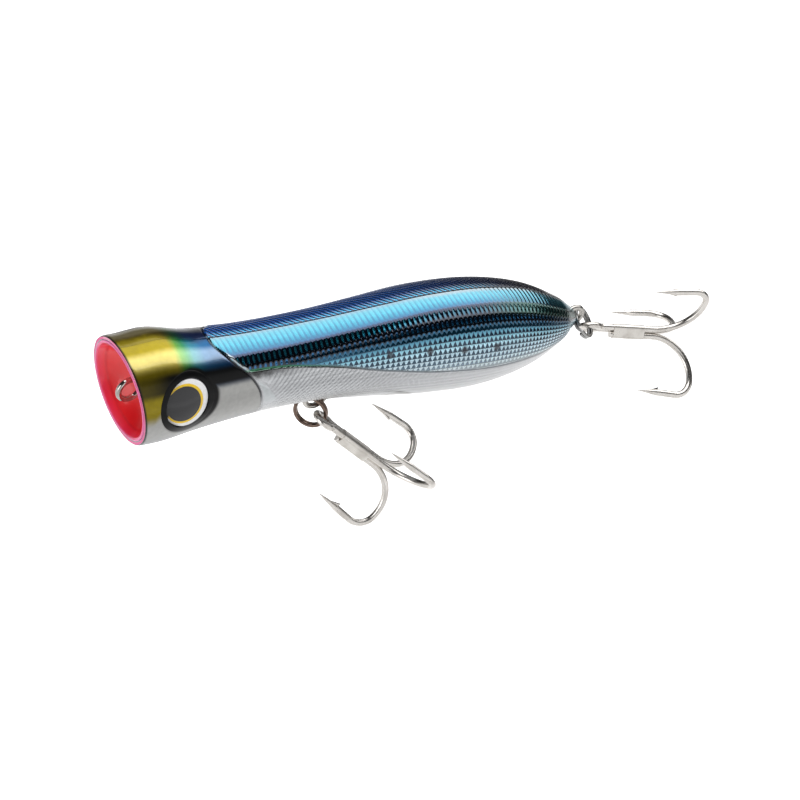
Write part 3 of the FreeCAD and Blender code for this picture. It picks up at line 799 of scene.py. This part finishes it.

    # head: gold, green and blue candy over silver; over the top beyond the seam and down the right half the
    # candy is painted in darker copies as shade
    streak = addNode(tree, "ShaderNodeTexNoise", {"Vector": spot, "Scale": 420.0, "Detail": 3.0})
    beyond = addNode(tree, "ShaderNodeMath", [read["around"], -2.0, 180.0], operation="MULTIPLY_ADD")
    over = addNode(tree, "ShaderNodeMath", [read["far"], beyond, read["around"]], operation="MULTIPLY_ADD")
    over = addNode(tree, "ShaderNodeMath", [streak, 10.0, over], operation="MULTIPLY_ADD")
    ease = addNode(tree, "ShaderNodeMapRange", [read["along"], 4.0, 12.0, 12.0, 0.0])
    read["over"] = addNode(tree, "ShaderNodeMath", [over, ease], operation="SUBTRACT")
    candy = coat(ramps["head"], ramps["paintedShadeHead"], foil["shadedCrown"])
    foot = addNode(tree, "ShaderNodeMapRange", [read["along"], 2.0, 7.5, -4.0, 24.0])
    read["overFoot"] = addNode(tree, "ShaderNodeMath", [read["around"], foot], operation="SUBTRACT")
    # painted highlight: cream mixed into the band, and the candy around it darkened as painted shade
    paintedSheen = where(foil["paintedSheen"])
    tone = addNode(tree, "ShaderNodeMixRGB", [paintedSheen, hexColour(foil["offPaintedSheen"]), hexColour("#FFFFFF")])
    candy = addNode(tree, "ShaderNodeMixRGB", [1.0, candy, tone], blend_type="MULTIPLY")
    colour, amount = foil["paintedSheenTint"]
    paintedGlint = addNode(tree, "ShaderNodeMath", [paintedSheen, amount], operation="MULTIPLY")
    candy = addNode(tree, "ShaderNodeMixRGB", [paintedGlint, candy, hexColour(colour)])
    head = coat(foil["headSilver"], candy, foil["goldFoot"])

    # sprayed black round the eye, wider behind it, and over the cheek
    behind = addNode(tree, "ShaderNodeMath", [read["along"], -0.12, 1.15], operation="MULTIPLY_ADD")
    read["eyeReach"] = addNode(tree, "ShaderNodeMath", [read["eyeRing"], behind], operation="ADD")
    dark = addNode(tree, "ShaderNodeMath", [where(foil["eyeHalo"]), where(foil["cheek"])],
                   operation="MAXIMUM")
    head = addNode(tree, "ShaderNodeMixRGB", [dark, head, hexColour(foil["black"])])
    onHead = where([("gill", -0.25, 0.15, 1, 0)])
    paint = addNode(tree, "ShaderNodeMixRGB", [onHead, paint, head])
    for colour, zones in foil["grooveCoats"]:
        paint = coat(paint, colour, zones)

    # overspray mottle, and the bare lip and plastic where the foil doesn't reach
    mottle = addNode(tree, "ShaderNodeTexNoise", {"Vector": spot, "Scale": 900.0, "Detail": 3.0})
    mottle = addNode(tree, "ShaderNodeMapRange", [mottle, 0.3, 0.7, 0.92, 1.05])
    paint = addNode(tree, "ShaderNodeMixRGB", [1.0, paint, mottle], blend_type="MULTIPLY")
    bare = where([("inside", 0.1, 0.4)])
    paint = addNode(tree, "ShaderNodeMixRGB", [bare, paint, tint(foil["bare"])])
    tree.links.new(paint.outputs[0], shader.inputs["Base Color"])

    # bright foil everywhere but on black paint and plastic, half hidden on the right half's back
    metal = addNode(tree, "ShaderNodeMapRange", [read["panel"], -3.0, 1.0, 0.6, 0.95])
    sprayed = addNode(tree, "ShaderNodeMath", [dark, onHead], operation="MULTIPLY")
    solid = addNode(tree, "ShaderNodeMath", [sprayed, bare], operation="MAXIMUM")
    dull = addNode(tree, "ShaderNodeMath", [farOn, 0.6], operation="MULTIPLY")
    solid = addNode(tree, "ShaderNodeMath", [solid, dull], operation="MAXIMUM")
    shine = addNode(tree, "ShaderNodeMath", [1.0, solid], operation="SUBTRACT")
    metal = addNode(tree, "ShaderNodeMath", [metal, shine], operation="MULTIPLY")
    tree.links.new(metal.outputs[0], shader.inputs["Metallic"])
    haze = addNode(tree, "ShaderNodeTexNoise", {"Vector": spot, "Scale": 260.0, "Detail": 2.0})
    haze = addNode(tree, "ShaderNodeMapRange", [haze, 0.3, 0.7, 0.16, 0.22])
    haze = addNode(tree, "ShaderNodeMath", [onHead, 0.12, haze], operation="MULTIPLY_ADD")
    tree.links.new(haze.outputs[0], shader.inputs["Roughness"])

    # clear lacquer, thickest in the head's painted sheen band and thin over the black
    thin = foil["blackGloss"]
    lacquer = addNode(tree, "ShaderNodeMapRange", [paintedSheen, 0.0, 1.0, thin, 1.0])
    lacquer = addNode(tree, "ShaderNodeMix", {0: onHead, 2: 1.0, 3: lacquer}, data_type="FLOAT")
    onBlack = addNode(tree, "ShaderNodeMapRange", [sprayed, 0.0, 1.0, 1.0, thin])
    lacquer = addNode(tree, "ShaderNodeMath", [lacquer, onBlack], operation="MULTIPLY")
    tree.links.new(lacquer.outputs[0], shader.inputs["Coat Weight"])
    shader.inputs["Coat Roughness"].default_value = 0.10
    shader.inputs["Coat IOR"].default_value = 1.55
    shader.inputs["Specular IOR Level"].default_value = 0.15
    return material


def buildShells():
    material = foilMaterial()
    tree = reliefTree()
    settings = {"Scale depth": body["scaleDepth"] * mm,
                "Lattice depth": body["latticeDepth"] * mm, "Foil": material}
    for side, name in ((-1, "left_shell"), (1, "right_shell")):
        settings["Rib slant"] = body["ribSlant"][side]
        settings["Rib depth"] = body["ribDepth"][side] * mm
        shell = applyTree(shellPiece(side, name + "_foil"), tree, settings)
        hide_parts(name)
        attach(shell, "lure")
        print(name, "built with", len(shell.data.polygons), "faces")


buildShells()


# Mouth cup: pressed dish in red candy lacquer

cup = {
    "rim": 10.46,
    "depth": 6.8,
    "thickness": 0.66,
    "segments": 128,
    "stepRadius": 9.5,
    "stepDepth": 0.10,
}


def buildCup():
    tilt = math.radians(body["mouthTilt"])
    inward = np.array([math.cos(tilt), 0, math.sin(tilt)])
    upward = np.array([-math.sin(tilt), 0, math.cos(tilt)])
    sideways = np.array([0, 1.0, 0])
    centre = np.array([body["mouthX"], 0, 0])
    ball = (cup["rim"] ** 2 + cup["depth"] ** 2) / (2 * cup["depth"])
    opening = math.asin(cup["rim"] / ball)
    profile = []
    for angle in np.linspace(0, opening, 56):
        radius = ball * math.sin(angle)
        beyondStep = float(smoothStep(radius, cup["stepRadius"] - 0.1, cup["stepRadius"] + 0.1))
        step = cup["stepDepth"] * beyondStep
        profile.append((radius, cup["depth"] - ball + ball * math.cos(angle) - step))
    outer = cup["rim"] + cup["thickness"]
    for angle in np.linspace(20, 160, 8):
        turn = math.radians(angle)
        middle = (cup["rim"] + outer) / 2
        profile.append((middle - math.cos(turn) * cup["thickness"] / 2, 0.10 - 0.24 * math.sin(turn)))
    backBall = ball + cup["thickness"]
    for angle in np.linspace(opening * 0.985, 0, 24):
        profile.append((backBall * math.sin(angle), cup["depth"] - ball + backBall * math.cos(angle)))
    profile = np.array(profile)
    turns = np.linspace(0, 2 * math.pi, cup["segments"], endpoint=False)
    spokes = np.cos(turns)[:, None] * sideways + np.sin(turns)[:, None] * upward
    points = centre + spokes[:, None, :] * profile[None, :, :1] + inward * profile[None, :, 1:]
    faces = gridFaces(cup["segments"], len(profile), closed=True)
    reach = np.tile(profile[:, 0], cup["segments"])
    piece = objectFrom("mouth_cup_dish", points.reshape(-1, 3), faces, {"reach": reach})

    # candy lacquer: clear red over a pale primer, pinker where it pools thin on the rim
    material, tree, shader = newMaterial("redCandyLacquer")
    reach = addNode(tree, "ShaderNodeAttribute", attribute_name="reach").outputs["Fac"]
    place = addNode(tree, "ShaderNodeMapRange", [reach, 0.0, 11.2, 0.0, 1.0])
    # the dip to a darker red right at the step inside the rim is painted shade along the step
    tone = addNode(tree, "ShaderNodeValToRGB", [place], stops=[
        (0.0, "#E80A14"), (0.6, "#F20C16"), (0.835, "#F41420"), (0.85, "#E81028"), (0.87, "#F81C34"),
        (0.92, "#FA2450"), (0.955, "#FF4FA0"), (1.0, "#F46AB4")])
    spot = addNode(tree, "ShaderNodeTexCoord").outputs["Object"]
    drift = addNode(tree, "ShaderNodeTexNoise", {"Vector": spot, "Scale": 160.0, "Detail": 4.0})
    drift = addNode(tree, "ShaderNodeMapRange", [drift, 0.3, 0.7, 0.92, 1.04])
    tone = addNode(tree, "ShaderNodeMixRGB", [1.0, tone, drift], blend_type="MULTIPLY")
    tree.links.new(tone.outputs[0], shader.inputs["Base Color"])
    shader.inputs["Roughness"].default_value = 0.4
    shader.inputs["Coat Weight"].default_value = 0.5
    shader.inputs["Coat Roughness"].default_value = 0.04
    piece.data.materials.append(material)
    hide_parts("mouth_cup")
    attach(piece, "lure")
    print("mouth cup built")


buildCup()


# Eyes: printed disc under a clear cast dome

eyePrint = {
    "pupil": "#1E1E22",
    "yellow": "#FFD208",
    "white": "#FFFFFF",
    "black": "#0C0C0E",
    "pupilRadius": 3.95,
    "pupilShift": 0.80,         # circles are nested towards the nose, which leaves a crescent
    "yellowRadius": 4.46,
    "yellowShift": 0.66,
    "whiteRadius": 5.26,
    "chord": -3.1,              # the pale crescent stops here, towards the nose
}


def eyeMaterial():
    # screen-printed foil sealed under epoxy: flat colours with a wet, mirror-smooth front
    material, tree, shader = newMaterial("castEpoxyOverPrint")
    px = addNode(tree, "ShaderNodeAttribute", attribute_name="noseTail").outputs["Fac"]
    pz = addNode(tree, "ShaderNodeAttribute", attribute_name="upDown").outputs["Fac"]
    edges = []
    for name in ("pupil", "yellow"):
        shifted = addNode(tree, "ShaderNodeMath", [px, eyePrint[name + "Shift"]], operation="ADD")
        reach = addNode(tree, "ShaderNodeCombineXYZ", [shifted, pz, 0.0])
        reach = addNode(tree, "ShaderNodeVectorMath", [reach], operation="LENGTH").outputs["Value"]
        radius = eyePrint[name + "Radius"]
        edges.append(addNode(tree, "ShaderNodeMapRange", [reach, radius - 0.06, radius + 0.06, 0.0, 1.0]))
    inYellow, inWhite = edges
    front = addNode(tree, "ShaderNodeMath", [pz], operation="ABSOLUTE")
    front = addNode(tree, "ShaderNodeMath", [front, 0.35, px], operation="MULTIPLY_ADD")
    chord = eyePrint["chord"]
    front = addNode(tree, "ShaderNodeMapRange", [front, chord - 0.25, chord + 0.25, 0.0, 1.0])
    pupil, yellow, white, black = (hexColour(eyePrint[key]) for key in ("pupil", "yellow", "white", "black"))
    ring = addNode(tree, "ShaderNodeMixRGB", [inWhite, yellow, white])
    ring = addNode(tree, "ShaderNodeMixRGB", [front, pupil, ring])
    tone = addNode(tree, "ShaderNodeMixRGB", [inYellow, pupil, ring])
    centred = addNode(tree, "ShaderNodeCombineXYZ", [px, pz, 0.0])
    centred = addNode(tree, "ShaderNodeVectorMath", [centred], operation="LENGTH").outputs["Value"]
    border = eyePrint["whiteRadius"]
    edge = addNode(tree, "ShaderNodeMapRange", [centred, border - 0.04, border + 0.04, 0.0, 1.0])
    tone = addNode(tree, "ShaderNodeMixRGB", [edge, tone, black])
    spot = addNode(tree, "ShaderNodeTexCoord").outputs["Object"]
    grain = addNode(tree, "ShaderNodeTexNoise", {"Vector": spot, "Scale": 1400.0, "Detail": 2.0})
    grain = addNode(tree, "ShaderNodeMapRange", [grain, 0.3, 0.7, 0.94, 1.03])
    tone = addNode(tree, "ShaderNodeMixRGB", [1.0, tone, grain], blend_type="MULTIPLY")
    tree.links.new(tone.outputs[0], shader.inputs["Base Color"])
    shader.inputs["Roughness"].default_value = 0.45
    shader.inputs["Coat Weight"].default_value = 0.45
    shader.inputs["Coat Roughness"].default_value = 0.03
    return material


def buildEyes():
    material = eyeMaterial()
    for side, name in ((-1, "left"), (1, "right")):
        crest, outward, across = eyeFrame(side)
        radius, rise = eye["radius"] - 0.02, eye["domeRise"]
        ball = (radius ** 2 + rise ** 2) / (2 * rise)
        opening = math.asin(radius / ball)
        angles = np.linspace(0, opening, 30)
        profile = [(ball * math.sin(a), rise - ball + ball * math.cos(a)) for a in angles]
        profile += [(radius * share, 0.0) for share in (0.97, 0.5, 0.0)]
        profile = np.array(profile)
        segments = eye["segments"] * 2 // 3
        turns = np.linspace(0, 2 * math.pi, segments, endpoint=False)
        base = crest - outward * eye["depth"]
        alongX = np.array([1.0, 0, 0])
        spokes = np.cos(turns)[:, None] * alongX + np.sin(turns)[:, None] * across
        points = base + spokes[:, None, :] * profile[None, :, :1] + outward * profile[None, :, 1:]
        flat = points - base
        values = {"noseTail": flat[:, :, 0].ravel(), "upDown": (flat @ across).ravel()}
        faces = gridFaces(segments, len(profile), closed=True)
        lens = objectFrom(name + "_eye_dome", points.reshape(-1, 3), faces, values)
        lens.data.materials.append(material)
        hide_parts(name + "_eye_lens")
        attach(lens, "lure")
    print("eyes built")


buildEyes()


# Metals on the carried wire, rings and hooks, and the parts inside the shell

metals = {
    "stainlessWire": {"colour": "#C9C6C1", "dark": "#9B9893", "rough": (0.10, 0.2), "grain": 500.0},
    "blackNickelRing": {"colour": "#7E6C62", "dark": "#55463E", "rough": (0.16, 0.26), "grain": 500.0},
    "steelRing": {"colour": "#A9A9A8", "dark": "#8A8A8C", "rough": (0.18, 0.26), "grain": 500.0},
    "brightTin": {"colour": "#E4E0DB", "dark": "#CCC7C1", "rough": (0.20, 0.30), "grain": 300.0},
    "silverSolder": {"colour": "#DEDAD4", "dark": "#C8C3BC", "rough": (0.26, 0.36), "grain": 400.0},
    "chromeSteelBall": {"colour": "#D2D3D4", "dark": "#B4B5B6", "rough": (0.05, 0.1), "grain": 400.0},
    "castLead": {"colour": "#8C8E92", "dark": "#65676B", "rough": (0.4, 0.6), "grain": 900.0},
}
metalUses = {
    "through_wire": "stainlessWire", "belly_split_ring": "blackNickelRing", "tail_split_ring": "steelRing",
    "belly_double_hook": "brightTin", "belly_single_hook": "brightTin", "belly_hook_braze": "silverSolder",
    "tail_double_hook": "brightTin", "tail_single_hook": "brightTin", "tail_hook_braze": "silverSolder",
    "rattle_ball_front": "chromeSteelBall", "rattle_ball_mid": "chromeSteelBall",
    "rattle_ball_rear": "chromeSteelBall", "belly_ballast": "castLead", "tail_ballast": "castLead",
}


def metalMaterial(name):
    # drawn, plated or cast metal: even tone with faint handling marks in the gloss
    values = metals[name]
    material, tree, shader = newMaterial(name)
    spot = addNode(tree, "ShaderNodeTexCoord").outputs["Object"]
    cloud = addNode(tree, "ShaderNodeTexNoise", {"Vector": spot, "Scale": values["grain"], "Detail": 4.0})
    stops = [(0.3, values["dark"]), (0.55, values["colour"])]
    tone = addNode(tree, "ShaderNodeValToRGB", [cloud], stops=stops)
    gloss = addNode(tree, "ShaderNodeMapRange", [cloud, 0.3, 0.7, values["rough"][1], values["rough"][0]])
    marks = {"Vector": spot, "Scale": values["grain"] * 4, "Detail": 2.0}
    mark = addNode(tree, "ShaderNodeTexNoise", marks)
    bump = addNode(tree, "ShaderNodeBump", {"Strength": 0.08, "Distance": 0.00002, "Height": mark})
    tree.links.new(tone.outputs[0], shader.inputs["Base Color"])
    tree.links.new(gloss.outputs[0], shader.inputs["Roughness"])
    tree.links.new(bump.outputs[0], shader.inputs["Normal"])
    shader.inputs["Metallic"].default_value = 1.0
    return material


def finishCarried():
    made = {name: metalMaterial(name) for name in metals}
    for node, use in metalUses.items():
        slots = nodes[node].material_slots
        if not slots:
            nodes[node].data.materials.append(made[use])
        for slot in slots:
            slot.material = made[use]
    # printed foil disc under each eye: dull dark grey with a fine grain
    material, tree, shader = newMaterial("printedFoilDisc")
    spot = addNode(tree, "ShaderNodeTexCoord").outputs["Object"]
    grain = addNode(tree, "ShaderNodeTexNoise", {"Vector": spot, "Scale": 800.0, "Detail": 3.0})
    tone = addNode(tree, "ShaderNodeValToRGB", [grain], stops=[(0.3, "#3A3A40"), (0.7, "#4A4A50")])
    tree.links.new(tone.outputs[0], shader.inputs["Base Color"])
    shader.inputs["Roughness"].default_value = 0.4
    for node in ("left_eye_disc", "right_eye_disc"):
        for slot in nodes[node].material_slots:
            slot.material = material
    print("metals set")


finishCarried()
